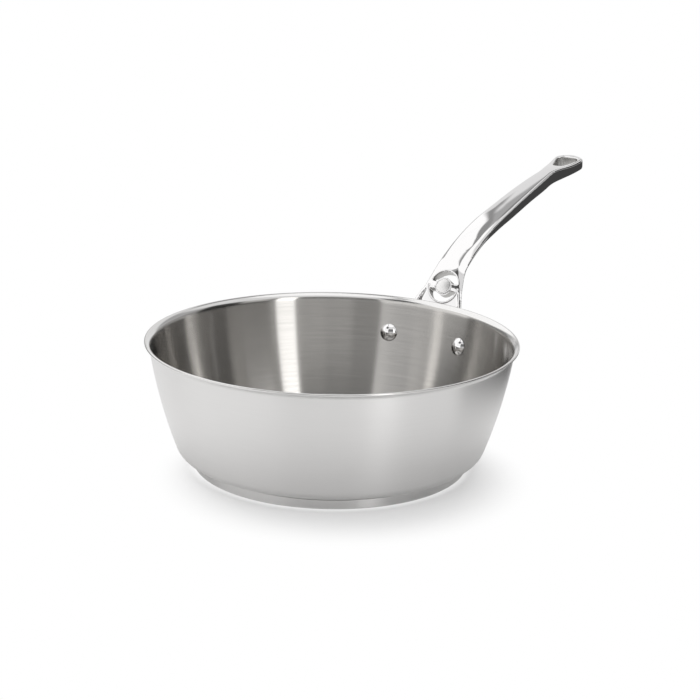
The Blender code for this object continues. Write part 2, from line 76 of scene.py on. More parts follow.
# Handle foot: a saddle plate with an ear round each rivet
SADDLE_THICKNESS = 4.0 * MM
EAR_RADIUS = 9.5 * MM
SADDLE_TOP_RADIUS = 6.0 * MM
SADDLE_TOP_SPACING = 34.0 * MM
SADDLE_TOP_BELOW_RIM = 15.0 * MM
HEEL_BELOW_RIVETS = 8.0 * MM
HEEL_ABOVE_RIVETS = 9.0 * MM
HEEL_WIDTH = 40.0 * MM
HEEL_SHOULDER_WIDTH = 45.0 * MM
HEEL_PROUD = 1.0 * MM
SHOULDER_CLEAR_OF_WALL = 2.4 * MM
SHOULDER_THICKNESS = 9.0 * MM

# Handle eye: a round boss on two bridges between crescent openings, in a sunk web with two rails
EYE_OUT = 12.2 * MM
EYE_UP = 9.4 * MM
EYE_OPENING_DIAMETER = 23.0 * MM
BOSS_DIAMETER = 12.8 * MM
BOSS_HEIGHT = 5.0 * MM
BOSS_RISE = 0.4 * MM
BOSS_BEAD = 1.2 * MM
LIP_BEAD = 1.5 * MM
BRIDGE_WIDTH = 6.0 * MM
MEDALLION_DIAMETER = 10.4 * MM
MEDALLION_THICKNESS = 1.3 * MM
MEDALLION_RISE = 0.3 * MM
MEDALLION_SEAT = 1.0 * MM
RAIL_WIDTH = 3.6 * MM
WEB_RECESS = 3.0 * MM
WEB_LENGTH = 24.0 * MM

# Handle tip: a flat head with straight flanks that spread to a blunt round end
TIP_OUT = 190.5 * MM
TIP_UP = 79.3 * MM
TIP_TILT = radians(12.5)
TIP_WIDTH = 25.2 * MM
TIP_LENGTH = 8.8 * MM
TIP_TAPER = radians(12.5)
TIP_FLANK = 26.0 * MM
TIP_FULLNESS = 2.5
TIP_FACET = 0.9 * MM
TIP_THICKNESS = 9.3 * MM
TIP_UNDERCUT = 0.5 * MM
TIP_BLEND = 2.4 * MM
TIP_CLOSE = 0.995

# Hanging hole: three rounded corners, the near one towards the pan
HOLE_NEAR_BACK = 12.0 * MM
HOLE_NEAR_RADIUS = 4.9 * MM
HOLE_FAR_BACK = 0.6 * MM
HOLE_FAR_RADIUS = 4.6 * MM
HOLE_FAR_SPACING = 8.4 * MM
HOLE_CHAMFER = 0.6 * MM
HOLE_LEAN = atan2(HOLE_FAR_SPACING / 2, HOLE_NEAR_BACK - HOLE_FAR_BACK)

# Section of the cast handle: a crowned top, and a round along each lower edge
CROWN = 0.5 * MM
LOWER_ROUND = 2.1 * MM
# Facet and undercut take at most this share of the casting's width
NARROW_SHARE = 1 / 4

# The handle's top line and section, from the rim to the neck: its place out from the rim and up,
# the flat of its top, a facet's width and drop, the thickness, and how far each side leans in
Station = namedtuple("Station", "out up flat facet drop thickness undercut")
GRIP_STATIONS = (
    Station(5.3 * MM, -0.4 * MM, 33.0 * MM, 3.6 * MM, 0.5 * MM, 8.0 * MM, 5.0 * MM),
    Station(EYE_OUT, EYE_UP, 25.0 * MM, 3.4 * MM, 0.9 * MM, 8.2 * MM, 4.5 * MM),
    Station(20.0 * MM, 21.8 * MM, 15.6 * MM, 5.3 * MM, 2.0 * MM, 9.1 * MM, 3.8 * MM),
    Station(29.5 * MM, 30.0 * MM, 16.5 * MM, 3.9 * MM, 2.4 * MM, 9.9 * MM, 3.4 * MM),
    Station(46.5 * MM, 39.9 * MM, 17.4 * MM, 2.8 * MM, 2.0 * MM, 8.8 * MM, 2.6 * MM),
    Station(69.0 * MM, 49.4 * MM, 16.5 * MM, 2.5 * MM, 1.3 * MM, 9.6 * MM, 2.0 * MM),
    Station(94.0 * MM, 57.4 * MM, 13.9 * MM, 2.6 * MM, 1.1 * MM, 10.6 * MM, 1.4 * MM),
    Station(121.0 * MM, 65.2 * MM, 13.3 * MM, 1.7 * MM, 0.9 * MM, 10.8 * MM, 1.0 * MM),
    Station(146.0 * MM, 71.6 * MM, 11.6 * MM, 0.9 * MM, 1.0 * MM, 11.6 * MM, 0.8 * MM),
    Station(162.0 * MM, 75.0 * MM, 9.4 * MM, 0.6 * MM, 0.6 * MM, 11.2 * MM, 0.8 * MM),
)

# Fineness of the handle
HANDLE_SECTIONS = 240
FLANK_SECTIONS = 40
END_SECTIONS = 40
HOLE_STEPS = 24
# Steps over half the crown, a facet, a side, the lower round and half the underside
SECTION_STEPS = (6, 3, 5, 4, 5)
CUT_STEPS = 96
# Deeper than any piece that is cut
CUT_DEPTH = 30.0 * MM
# The cast skin: its mesh, and how often and how far each point moves to its neighbours' middle
CASTING_VOXEL = 0.50 * MM
CASTING_SMOOTHING = 9
CASTING_PULL = 0.5
# A cut's wall is left as cast where it faces up or down less than this, this far under its edge
# Left as cast, such a wall is also darker: partly painted shade inside the cut
WALL_FACING = 0.5
CUT_EDGE = 0.8 * MM

# Fineness of the turned pieces, and the least angle that stays a sharp edge
TURN_STEPS = 288
ARC_STEPS = 14
WALL_STEPS = 40
EDGE_STEPS = 8
FLOOR_STEPS = 12
DOME_STEPS = 12
MERGE = 0.002 * MM
SHARP_ANGLE = radians(35)


# Working in Blender

def start_piece():
    """Leaves edit mode with nothing selected, so that the next primitive is alone."""
    if bpy.context.mode != 'OBJECT':
        bpy.ops.object.mode_set(mode='OBJECT')
    bpy.ops.object.select_all(action='DESELECT')


def turned(name, points, steps=TURN_STEPS):
    """A chain of points (radius, height), drawn by extruding one vertex and spun round Z."""
    start_piece()
    bpy.ops.mesh.primitive_plane_add(size=MM)
    piece = bpy.context.object
    piece.name = name
    bpy.ops.object.mode_set(mode='EDIT')
    bpy.ops.mesh.merge(type='CENTER')
    bpy.ops.transform.translate(value=(points[0][0], 0, points[0][1]))
    for (radius, height), (next_radius, next_height) in zip(points, points[1:]):
        move = (next_radius - radius, 0, next_height - height)
        bpy.ops.mesh.extrude_region_move(TRANSFORM_OT_translate={"value": move})
    bpy.ops.mesh.select_all(action='SELECT')
    bpy.ops.mesh.spin(steps=steps, angle=2 * pi, center=(0, 0, 0), axis=(0, 0, 1))
    bpy.ops.mesh.select_all(action='SELECT')
    bpy.ops.mesh.remove_doubles(threshold=MERGE)
    bpy.ops.mesh.normals_make_consistent(inside=False)
    bpy.ops.object.mode_set(mode='OBJECT')
    bpy.ops.object.shade_smooth_by_angle(angle=SHARP_ANGLE)
    return piece


def dress(piece, node, material):
    """Puts the piece in place of a node of the frame and its finish."""
    piece.data.materials.clear()
    piece.data.materials.append(material)
    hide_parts(node)
    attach(piece, "root")


# The vessel's sheet, drawn by its middle line

STEP_FLOOR = BASE_HEIGHT + SEAT_GAP + SHEET / 2
FLOOR = STEP_FLOOR + STEP_RISE
CORNER_MID = CORNER_RADIUS - SHEET / 2
WALL_MID = WALL_CURVE_RADIUS - SHEET / 2
FLARE_MID = FLARE_RADIUS + SHEET / 2


def wall_headings():
    """Where the wall arc starts and ends, so that the arcs meet the rim edge in tangents."""
    outer_side = WALL_MID + FLARE_MID
    inner_side = WALL_MID - CORNER_MID
    across = RIM_RADIUS - SHEET / 2 - CORNER_START_RADIUS + FLARE_MID * sin(FLARE_END_HEADING)
    up = HEIGHT - SHEET / 2 - FLOOR - CORNER_MID - FLARE_MID * cos(FLARE_END_HEADING)
    chord = hypot(across, up)
    corner = acos((outer_side ** 2 - inner_side ** 2 - chord ** 2) / (2 * inner_side * chord))
    start = atan2(up, across) - corner + pi / 2
    end = atan2(across + inner_side * sin(start), inner_side * cos(start) - up)
    return start, end


WALL_START, WALL_END = wall_headings()
WALL_CENTRE = (CORNER_START_RADIUS + CORNER_MID * sin(WALL_START) - WALL_MID * sin(WALL_START),
               FLOOR + CORNER_MID * (1 - cos(WALL_START)) + WALL_MID * cos(WALL_START))


def wall_heading_at(height):
    """The heading of the wall's middle line at a height: 0 is level, a quarter turn upright."""
    return acos((WALL_CENTRE[1] - height) / WALL_MID)


def wall_point(height, offset):
    """Radius and height of the wall square outwards from its middle line at a height."""
    heading = wall_heading_at(height)
    reach = WALL_MID + offset
    return WALL_CENTRE[0] + reach * sin(heading), WALL_CENTRE[1] - reach * cos(heading)


def arc(centre, radius, start, end, steps, side=1):
    """Points on an arc whose outward normal swings with the heading."""
    headings = np.linspace(start, end, steps + 1)
    return [(centre[0] + side * radius * sin(h), centre[1] - side * radius * cos(h))
            for h in headings]


def sheet_line(offset):
    """The vessel from the axis to the rim, offset outwards from the sheet's middle line."""
    step_centre_in = (CORNER_START_RADIUS - STEP_SETBACK - STEP_BEND - SHEET,
                      STEP_FLOOR + STEP_BEND + SHEET / 2)
    step_centre_out = (step_centre_in[0] + 2 * STEP_BEND + SHEET, FLOOR - STEP_BEND - SHEET / 2)
    bend = STEP_BEND + SHEET / 2
    corner_centre = (CORNER_START_RADIUS, FLOOR + CORNER_MID)
    flare_reach = WALL_MID + FLARE_MID
    flare_centre = (WALL_CENTRE[0] + flare_reach * sin(WALL_END),
                    WALL_CENTRE[1] - flare_reach * cos(WALL_END))
    floor_end = step_centre_in[0]
    points = [(floor_end * i / FLOOR_STEPS, STEP_FLOOR - offset) for i in range(FLOOR_STEPS)]
    points += arc(step_centre_in, bend + offset, 0, pi / 2, EDGE_STEPS)
    points += arc(step_centre_out, bend - offset, pi / 2, 0, EDGE_STEPS, side=-1)
    points += arc(corner_centre, CORNER_MID + offset, 0, WALL_START, ARC_STEPS)
    points += arc(WALL_CENTRE, WALL_MID + offset, WALL_START, WALL_END, WALL_STEPS)[1:]
    points += arc(flare_centre, FLARE_MID - offset, WALL_END, FLARE_END_HEADING, ARC_STEPS,
                  side=-1)[1:]
    return points


# Vessel and base cap

def make_vessel(inner_finish_and_shade, outer_finish, rim_finish):
    """The whole sheet, with one finish inside, one outside and one on the rim's band."""
    inside = sheet_line(-SHEET / 2)
    outside = sheet_line(SHEET / 2)
    edge_centre = (RIM_RADIUS - SHEET / 2, HEIGHT - SHEET / 2)
    edge = arc(edge_centre, SHEET / 2, FLARE_END_HEADING + pi, FLARE_END_HEADING,
               EDGE_STEPS)[1:-1]
    vessel = turned("vessel_body", inside + edge + outside[::-1])
    dress(vessel, "vessel", inner_finish_and_shade)
    vessel.data.materials.append(outer_finish)
    vessel.data.materials.append(rim_finish)
    # Other faces keep the inside's finish, whose darker colour is painted shade
    for face in vessel.data.polygons:
        outwards = Vector((face.center.x, face.center.y, 0)).dot(face.normal)
        if outwards > 0 and face.normal.z < sin(FLARE_END_HEADING):
            face.material_index = 1
        elif face.center.z > HEIGHT - FLARE_RADIUS and face.normal.z > RIM_FACING:
            face.material_index = 2


def make_base_cap(material):
    """The steel cap round the base disc: a flat underside, a bent edge and an upright wall."""
    bend_centre = (BASE_RADIUS - CAP_EDGE_RADIUS, CAP_EDGE_RADIUS)
    inner_bend = CAP_EDGE_RADIUS - CAP_SHEET
    points = [(0.0, CAP_SHEET)]
    points += arc(bend_centre, inner_bend, 0, pi / 2, EDGE_STEPS)
    points += [(BASE_RADIUS - CAP_SHEET, BASE_HEIGHT), (BASE_RADIUS, BASE_HEIGHT)]
    points += arc(bend_centre, CAP_EDGE_RADIUS, pi / 2, 0, EDGE_STEPS)
    points += [(0.0, 0.0)]
    cap = turned("base_cap_shell", points)
    dress(cap, "base_cap", material)


# The cast handle

def top_line():
    """Stations from the heel on the saddle to the tip's middle, as radius and height."""
    heel = wall_point(RIVET_HEIGHT - HEEL_BELOW_RIVETS, SHEET / 2)
    shoulder = wall_point(RIVET_HEIGHT + HEEL_ABOVE_RIVETS, SHEET / 2 + SHOULDER_CLEAR_OF_WALL)
    proud = SEAT_GAP + SADDLE_THICKNESS + HEEL_PROUD
    heel_facet = RAIL_WIDTH / 2
    rows = [(*heel, HEEL_WIDTH - 2 * heel_facet, heel_facet, heel_facet, proud, heel_facet),
            (*shoulder, HEEL_SHOULDER_WIDTH - 2 * RAIL_WIDTH, RAIL_WIDTH, RAIL_WIDTH / 2,
             SHOULDER_THICKNESS, RAIL_WIDTH)]
    for station in GRIP_STATIONS:
        rows.append((RIM_RADIUS + station.out, HEIGHT + station.up, *station[2:]))
    tip = (RIM_RADIUS + TIP_OUT, HEIGHT + TIP_UP)
    neck = GRIP_STATIONS[-1]
    for along in (-TIP_LENGTH, TIP_LENGTH):
        rows.append((tip[0] + along * cos(TIP_TILT), tip[1] + along * sin(TIP_TILT),
                     neck.flat, TIP_FACET, TIP_FACET, TIP_THICKNESS, TIP_UNDERCUT))
    return np.array(rows)


def flow(knots, values, where):
    """A smooth curve through the values at the knots, read at each place in where."""
    slopes = np.gradient(values, knots, axis=0)
    span = np.clip(np.searchsorted(knots, where) - 1, 0, len(knots) - 2)
    width = (knots[span + 1] - knots[span])[:, None]
    t = (where - knots[span])[:, None] / width
    start = (1 + 2 * t) * (1 - t) ** 2 * values[span] + t * (1 - t) ** 2 * width * slopes[span]
    end = t * t * (3 - 2 * t) * values[span + 1] + t * t * (t - 1) * width * slopes[span + 1]
    return start + end


def smooth_maximum(first, second, blend):
    """The larger of two values, with a fillet where they are nearly equal."""
    near = np.maximum(blend - np.abs(first - second), 0) / blend
    return np.maximum(first, second) + near * near * blend / 4


def tip_width(past):
    """Width of the tip at a distance past its widest place: straight flanks, a blunt end."""
    flank = TIP_WIDTH + 2 * past * tan(TIP_TAPER)
    reach = np.clip(past / TIP_LENGTH, 0.0, 1.0)
    blunt = TIP_WIDTH * (1 - reach ** TIP_FULLNESS) ** (1 / TIP_FULLNESS)
    return -smooth_maximum(-flank, -blunt, 2 * TIP_BLEND)


def section(flat, facet, drop, thickness, undercut):
    """Half of the casting's outline from the middle of its top to the middle of its
    underside, as (sideways, depth) pairs."""
    crown_steps, facet_steps, side_steps, round_steps, under_steps = SECTION_STEPS
    edge = flat / 2
    side = edge + facet
    lower = side - undercut
    corner = min(LOWER_ROUND, lower / 2)
    foot = thickness - corner
    shoulder = CROWN + drop
    points = [(edge * s, CROWN * s * s) for s in np.linspace(0, 1, crown_steps + 1)]
    points += list(zip(np.linspace(edge, side, facet_steps + 1)[1:],
                       np.linspace(CROWN, shoulder, facet_steps + 1)[1:]))
    points += list(zip(np.linspace(side, lower, side_steps + 1)[1:-1],
                       np.linspace(shoulder, foot, side_steps + 1)[1:-1]))
    points += arc((lower - corner, foot), corner, pi / 2, pi, round_steps)
    points += list(zip(np.linspace(lower - corner, 0, under_steps + 1)[1:],
                       [thickness] * under_steps))
    return points


def casting_rings():
    """The points of each section of the casting, from the heel to the tip."""
    rows = top_line()
    knots = np.concatenate([[0.0], np.cumsum(np.hypot(*np.diff(rows[:, :2], axis=0).T))])
    widest = knots[-1] - TIP_LENGTH
    run = np.linspace(0.0, widest - TIP_FLANK, HANDLE_SECTIONS)
    flank = np.linspace(run[-1], widest, FLANK_SECTIONS + 1)[1:]
    sweep = np.linspace(0.0, TIP_CLOSE, END_SECTIONS + 1)[1:] * pi / 2
    end = widest + TIP_LENGTH * np.sin(sweep) ** (2 / TIP_FULLNESS)
    where = np.concatenate([run, flank, end])
    values = flow(knots, rows, where)
    radius, height, flat, facet, drop, thickness, undercut = values.T
    slopes = np.gradient(values[:, :2], where, axis=0)
    slopes /= np.hypot(*slopes.T)[:, None]
    head = tip_width(where - widest)
    width = np.where(where < widest, smooth_maximum(flat + 2 * facet, head, 2 * TIP_BLEND), head)
    facet = np.minimum(facet, width * NARROW_SHARE)
    undercut = np.minimum(undercut, width * NARROW_SHARE)
    rings = []
    for i in range(len(where)):
        half = section(width[i] - 2 * facet[i], facet[i], drop[i], thickness[i], undercut[i])
        outline = half + [(-sideways, depth) for sideways, depth in half[-2:0:-1]]
        along = Vector((slopes[i, 0], 0, slopes[i, 1]))
        up = Vector((-along.z, 0, along.x))
        centre = Vector((radius[i], 0, height[i]))
        rings.append([centre + Vector((0, sideways, 0)) - up * depth
                      for sideways, depth in outline])
    return rings


def wrapped(name, rings):
    """A grid wrapped round the sections, with its seam merged and its ends closed."""
    start_piece()
    around = len(rings[0])
    bpy.ops.mesh.primitive_grid_add(x_subdivisions=around, y_subdivisions=len(rings) - 1, size=1)
    piece = bpy.context.object
    piece.name = name
    points = [point for ring in rings for point in (*ring, ring[0])]
    piece.data.vertices.foreach_set("co", np.array(points).ravel())
    bpy.ops.object.mode_set(mode='EDIT')
    bpy.ops.mesh.select_all(action='SELECT')
    bpy.ops.mesh.remove_doubles(threshold=MERGE)
    bpy.ops.mesh.select_all(action='DESELECT')
    bpy.ops.mesh.select_non_manifold()
    bpy.ops.mesh.edge_face_add()
    bpy.ops.mesh.select_all(action='SELECT')
    bpy.ops.mesh.normals_make_consistent(inside=False)
    bpy.ops.object.mode_set(mode='OBJECT')
    return piece


def face_frame(out, up, slope):
    """A frame on the handle's top face: X along the handle, Z square out of the face."""
    return (Matrix.Translation((RIM_RADIUS + out, 0, HEIGHT + up))
            @ Matrix.Rotation(-slope, 4, 'Y'))


def eye_frame():
    """The frame of the eye: its middle on the top face, turned as the stations beside it rise."""
    below, above = GRIP_STATIONS[0], GRIP_STATIONS[2]
    return face_frame(EYE_OUT, EYE_UP, atan2(above.up - below.up, above.out - below.out))


def rivet_frame(side):
    """The place of a rivet: its Z runs outwards, square to the wall, from the inner face."""
    radius, height = wall_point(RIVET_HEIGHT, -SHEET / 2)
    angle = side * asin(RIVET_SPACING / 2 / radius)
    heading = wall_heading_at(RIVET_HEIGHT)
    place = Matrix.Rotation(angle, 4, 'Z') @ Matrix.Translation((radius, 0, height))
    return place @ Matrix.Rotation(pi - heading, 4, 'Y')


def cylinder(name, radius, depth, place):
    """A cylinder about the Z of a place, with its middle there."""
    start_piece()
    bpy.ops.mesh.primitive_cylinder_add(vertices=CUT_STEPS, radius=radius, depth=depth)
    cutter = bpy.context.object
    cutter.name = name
    cutter.data.transform(place)
    return cutter


def carve(piece, tool, operation='DIFFERENCE'):
    """Cuts the tool out of the piece, or joins it, or keeps what both share. The tool goes."""
    start_piece()
    bpy.context.view_layer.objects.active = piece
    modifier = piece.modifiers.new("carved", 'BOOLEAN')
    modifier.operation = operation
    modifier.object = tool
    modifier.solver = 'EXACT'
    bpy.ops.object.modifier_apply(modifier=modifier.name)
    bpy.data.objects.remove(tool)


def saddle():
    """A turned band that follows the wall, trimmed to two ears and a body with a rounded top."""
    low = RIVET_HEIGHT - EAR_RADIUS - SADDLE_THICKNESS
    high = HEIGHT - SADDLE_TOP_BELOW_RIM + SADDLE_THICKNESS
    heights = np.linspace(high, low, EDGE_STEPS)
    inner = [wall_point(height, SHEET / 2 - SEAT_GAP) for height in heights]
    outer = [wall_point(height, SHEET / 2 + SEAT_GAP + SADDLE_THICKNESS) for height in heights]
    band = turned("saddle", outer + inner[::-1] + outer[:1])
    corners = [(RIVET_SPACING / 2, RIVET_HEIGHT, EAR_RADIUS),
               (SADDLE_TOP_SPACING / 2, HEIGHT - SADDLE_TOP_BELOW_RIM - SADDLE_TOP_RADIUS,
                SADDLE_TOP_RADIUS)]
    pegs = []
    for side in (-1, 1):
        for sideways, height, radius in corners:
            place = (Matrix.Translation((RIM_RADIUS, side * sideways, height))
                     @ Matrix.Rotation(pi / 2, 4, 'Y'))
            pegs.append(cylinder("corner", radius, 4 * CUT_DEPTH, place))
    start_piece()
    for peg in pegs:
        peg.select_set(True)
    bpy.context.view_layer.objects.active = pegs[0]
    bpy.ops.object.join()
    bpy.ops.object.mode_set(mode='EDIT')
    bpy.ops.mesh.select_all(action='SELECT')
    bpy.ops.mesh.convex_hull()
    bpy.ops.object.mode_set(mode='OBJECT')
    carve(band, bpy.context.object, 'INTERSECT')
    return band


def pan_envelope():
    """The vessel's outside with the seat gap added, solid to the axis."""
    outside = sheet_line(SHEET / 2 + SEAT_GAP)
    rim = RIM_RADIUS + SEAT_GAP
    points = [(0.0, HEIGHT + CUT_DEPTH), (rim, HEIGHT + CUT_DEPTH), (rim, outside[-1][1])]
    return turned("pan_envelope", points + outside[::-1])


def eye_openings(frame_of_eye):
    """Two crescents round the boss, left apart by the bridges."""
    opening = cylinder("eye_openings", EYE_OPENING_DIAMETER / 2, CUT_DEPTH, frame_of_eye)
    boss = cylinder("eye_boss", BOSS_DIAMETER / 2, 2 * CUT_DEPTH, frame_of_eye)
    start_piece()
    bpy.ops.mesh.primitive_cube_add(size=1)
    bridge = bpy.context.object
    bridge.data.transform(frame_of_eye @ Matrix.Diagonal(
        (BRIDGE_WIDTH, 2 * EYE_OPENING_DIAMETER, 2 * CUT_DEPTH, 1.0)))
    carve(opening, boss)
    carve(opening, bridge)
    return opening


def eye_fall():
    """How far the foot's top line runs from the middle of the eye to the rim."""
    rim, eye = GRIP_STATIONS[:2]
    return hypot(eye.out - rim.out, eye.up - rim.up)


def web_depth():
    """How deep the web lies at its far end."""
    return CROWN + WEB_RECESS * WEB_LENGTH / eye_fall()


def web_pocket(frame_of_eye):
    """The sunk web between the foot's two rails, deeper towards the rim."""
    rim, eye = GRIP_STATIONS[:2]
    top_half = eye.flat / 2 + eye.facet - RAIL_WIDTH
    low_half = rim.flat / 2 + rim.facet - RAIL_WIDTH
    spread = top_half + (low_half - top_half) * WEB_LENGTH / eye_fall()
    above = SADDLE_THICKNESS
    depth = web_depth()
    start_piece()
    bpy.ops.mesh.primitive_cube_add(size=1)
    pocket = bpy.context.object
    for vertex in pocket.data.vertices:
        near_eye = vertex.co.x > 0
        half = top_half if near_eye else spread
        floor = 0.0 if near_eye else -depth
        vertex.co = (0.0 if near_eye else -WEB_LENGTH, half if vertex.co.y > 0 else -half,
                     above if vertex.co.z > 0 else floor)
    pocket.data.transform(frame_of_eye)
    return pocket


def hole_ring(growth, height):
    """The hanging hole's outline at a height, grown by an even margin: an arc round each
    of its corners, from one tangent line to the next."""
    spread = HOLE_FAR_SPACING / 2
    along = HOLE_NEAR_BACK - HOLE_FAR_BACK
    lean = HOLE_LEAN + acos((HOLE_NEAR_RADIUS - HOLE_FAR_RADIUS) / hypot(spread, along))
    corners = [(-HOLE_FAR_BACK, spread, HOLE_FAR_RADIUS, 0.0, lean),
               (-HOLE_NEAR_BACK, 0.0, HOLE_NEAR_RADIUS, lean, 2 * pi - lean),
               (-HOLE_FAR_BACK, -spread, HOLE_FAR_RADIUS, -lean, 0.0)]
    ring = []
    for centre_along, centre_across, radius, first, last in corners:
        for angle in np.linspace(first, last, HOLE_STEPS + 1):
            ring.append(Vector((centre_along + (radius + growth) * cos(angle),
                                centre_across + (radius + growth) * sin(angle), height)))
    return ring


def hanging_hole():
    """A hole right through the tip, with a chamfer at each face."""
    flared = HOLE_CHAMFER + CUT_DEPTH
    rings = [hole_ring(flared, CUT_DEPTH), hole_ring(HOLE_CHAMFER, 0.0),
             hole_ring(0.0, -HOLE_CHAMFER), hole_ring(0.0, HOLE_CHAMFER - TIP_THICKNESS),
             hole_ring(HOLE_CHAMFER, -TIP_THICKNESS),
             hole_ring(flared, -TIP_THICKNESS - CUT_DEPTH)]
    hole = wrapped("hanging_hole", rings)
    hole.data.transform(face_frame(TIP_OUT, TIP_UP, TIP_TILT))
    return hole


def soften(piece):
    """Melts a carved piece into one even skin and rounds all its edges, as polishing does."""
    start_piece()
    bpy.context.view_layer.objects.active = piece
    remesh = piece.modifiers.new("skin", 'REMESH')
    remesh.mode = 'VOXEL'
    remesh.voxel_size = CASTING_VOXEL
    remesh.use_smooth_shade = True
    bpy.ops.object.modifier_apply(modifier=remesh.name)
    bpy.ops.object.mode_set(mode='EDIT')
    bpy.ops.mesh.select_all(action='SELECT')
    bpy.ops.mesh.vertices_smooth(factor=CASTING_PULL, repeat=CASTING_SMOOTHING)
    bpy.ops.object.mode_set(mode='OBJECT')


def bead(name, radius, thickness, place, below_only=False):
    """A round bead, a whole ring or the half of it that lies towards the rim."""
    start_piece()
    bpy.ops.mesh.primitive_torus_add(major_segments=CUT_STEPS, minor_segments=ARC_STEPS,
                                     major_radius=radius, minor_radius=thickness / 2)
    ring = bpy.context.object
    ring.name = name
    if below_only:
        bpy.ops.object.mode_set(mode='EDIT')
        bpy.ops.mesh.select_all(action='SELECT')
        bpy.ops.mesh.bisect(plane_co=(0, 0, 0), plane_no=(1, 0, 0), clear_outer=True,
                            use_fill=True)
        bpy.ops.object.mode_set(mode='OBJECT')
    bpy.ops.object.shade_smooth_by_angle(angle=SHARP_ANGLE)
    ring.data.transform(place)
    return ring


def make_handle(polished, rough_and_shaded):
    """The casting and its saddle in one piece, polished but for the walls of its cuts."""
    eye = eye_frame()
    handle = wrapped("cast_handle", casting_rings())
    carve(handle, saddle(), 'UNION')
    carve(handle, pan_envelope())
    carve(handle, web_pocket(eye))
    carve(handle, cylinder("boss", BOSS_DIAMETER / 2, BOSS_HEIGHT,
                           eye @ Matrix.Translation((0, 0, BOSS_RISE - BOSS_HEIGHT / 2))), 'UNION')
    carve(handle, eye_openings(eye))
    carve(handle, hanging_hole())
    for side in (1, -1):
        carve(handle, cylinder("rivet_hole", SHANK_DIAMETER / 2 + SEAT_GAP, 2 * CUT_DEPTH,
                               rivet_frame(side)))
    carve(handle, cylinder("seat", MEDALLION_DIAMETER / 2 + SEAT_GAP, 2 * MEDALLION_SEAT, eye))
    soften(handle)
    web_slope = web_depth() / WEB_LENGTH
    rings = [bead("boss_edge", (BOSS_DIAMETER - BOSS_BEAD) / 2, BOSS_BEAD,
                  eye @ Matrix.Translation((0, 0, BOSS_RISE - BOSS_BEAD / 2))),
             bead("crescent_lip", (EYE_OPENING_DIAMETER + LIP_BEAD) / 2, LIP_BEAD,
                  eye @ Matrix.Rotation(-atan2(web_depth(), WEB_LENGTH), 4, 'Y'),
                  below_only=True)]
    start_piece()
    for piece in rings + [handle]:
        piece.select_set(True)
    bpy.context.view_layer.objects.active = handle
    bpy.ops.object.join()
    dress(handle, "handle", polished)
    handle.data.materials.append(rough_and_shaded)
    to_eye = eye.inverted()
    to_tip = face_frame(TIP_OUT, TIP_UP, TIP_TILT).inverted()
    turn_to_eye = to_eye.to_3x3()
    turn_to_tip = to_tip.to_3x3()
    # Walls of the cuts take the rough steel, darker as painted shade inside the cuts
    for face in handle.data.polygons:
        in_eye = to_eye @ face.center
        in_tip = to_tip @ face.center
        wall_of_eye = (hypot(in_eye.x, in_eye.y) < EYE_OPENING_DIAMETER / 2 + SEAT_GAP
                       and abs((turn_to_eye @ face.normal).z) < WALL_FACING
                       and in_eye.z < -CUT_EDGE - web_slope * max(-in_eye.x, 0))
        past_near = max(in_tip.x + HOLE_NEAR_BACK, 0)
        reach = HOLE_NEAR_RADIUS + past_near * tan(HOLE_LEAN) + SEAT_GAP
        wall_of_hole = (-TIP_WIDTH < in_tip.x < TIP_LENGTH - RAIL_WIDTH
                        and abs(in_tip.y) < reach
                        and abs((turn_to_tip @ face.normal).z) < WALL_FACING)
        face.material_index = int(wall_of_eye or wall_of_hole)


# Rivets and medallion

def dome(radius, rise, base):
    """A low dome standing on a base height: points from its edge to its top."""
    curve = (radius ** 2 + rise ** 2) / (2 * rise)
    spread = asin(radius / curve)
    angles = np.linspace(spread, 0.0, DOME_STEPS + 1)
    return [(curve * sin(a), base + curve * (cos(a) - 1) + rise) for a in angles]


def make_rivet(name, node, side, material):
    """A domed head inside the pan, a shank through wall and saddle, and a formed tail."""
    inner_radius = wall_point(RIVET_HEIGHT, -SHEET / 2)[0]
    sag = inner_radius - sqrt(inner_radius ** 2 - (HEAD_DIAMETER / 2) ** 2)
    head_base = SEAT_GAP + sag
    tail_base = SHEET + SEAT_GAP + SADDLE_THICKNESS + SEAT_GAP
    shank = SHANK_DIAMETER / 2
    tail = dome(TAIL_DIAMETER / 2, TAIL_RISE, tail_base)
    head = dome(HEAD_DIAMETER / 2, HEAD_RISE, head_base)
    points = tail[::-1] + [(shank, tail_base), (shank, -head_base)]
    points += [(radius, -height) for radius, height in head]
    rivet = turned(name, points, CUT_STEPS)
    rivet.data.transform(rivet_frame(side))
    dress(rivet, node, material)


def make_medallion(material):
    """A plain disc with a low dome, sunk in the boss."""
    base = SEAT_GAP - MEDALLION_SEAT
    edge_top = base + MEDALLION_THICKNESS - MEDALLION_RISE
    points = dome(MEDALLION_DIAMETER / 2, MEDALLION_RISE, edge_top)[::-1]
    points += [(MEDALLION_DIAMETER / 2, base), (0.0, base)]
    medallion = turned("medallion_disc", points, CUT_STEPS)
    medallion.data.transform(eye_frame())
    dress(medallion, "medallion", material)


# Materials

def linear(code):
    """A colour given as an sRGB hex code, in linear light."""
    levels = [int(code[i:i + 2], 16) / 255 for i in (1, 3, 5)]
    return (*[v / 12.92 if v <= 0.04045 else ((v + 0.055) / 1.055) ** 2.4 for v in levels], 1.0)


def add_node(tree, kind, settings, inputs):
    """Adds a node. An input given as a socket is linked, and any other value is set."""
    node = tree.nodes.new(kind)
    for name, value in settings.items():
        setattr(node, name, value)
    for name, value in inputs.items():
        if isinstance(value, bpy.types.NodeSocket):
            tree.links.new(value, node.inputs[name])
        else:
            node.inputs[name].default_value = value
    return node


def new_material(name):
    """A material for bare metal, with its nodes and its shader."""
    material = bpy.data.materials.new(name)
    material.use_nodes = True
    tree = material.node_tree
    shader = tree.nodes["Principled BSDF"]
    shader.inputs["Metallic"].default_value = 1.0
    return material, tree, shader
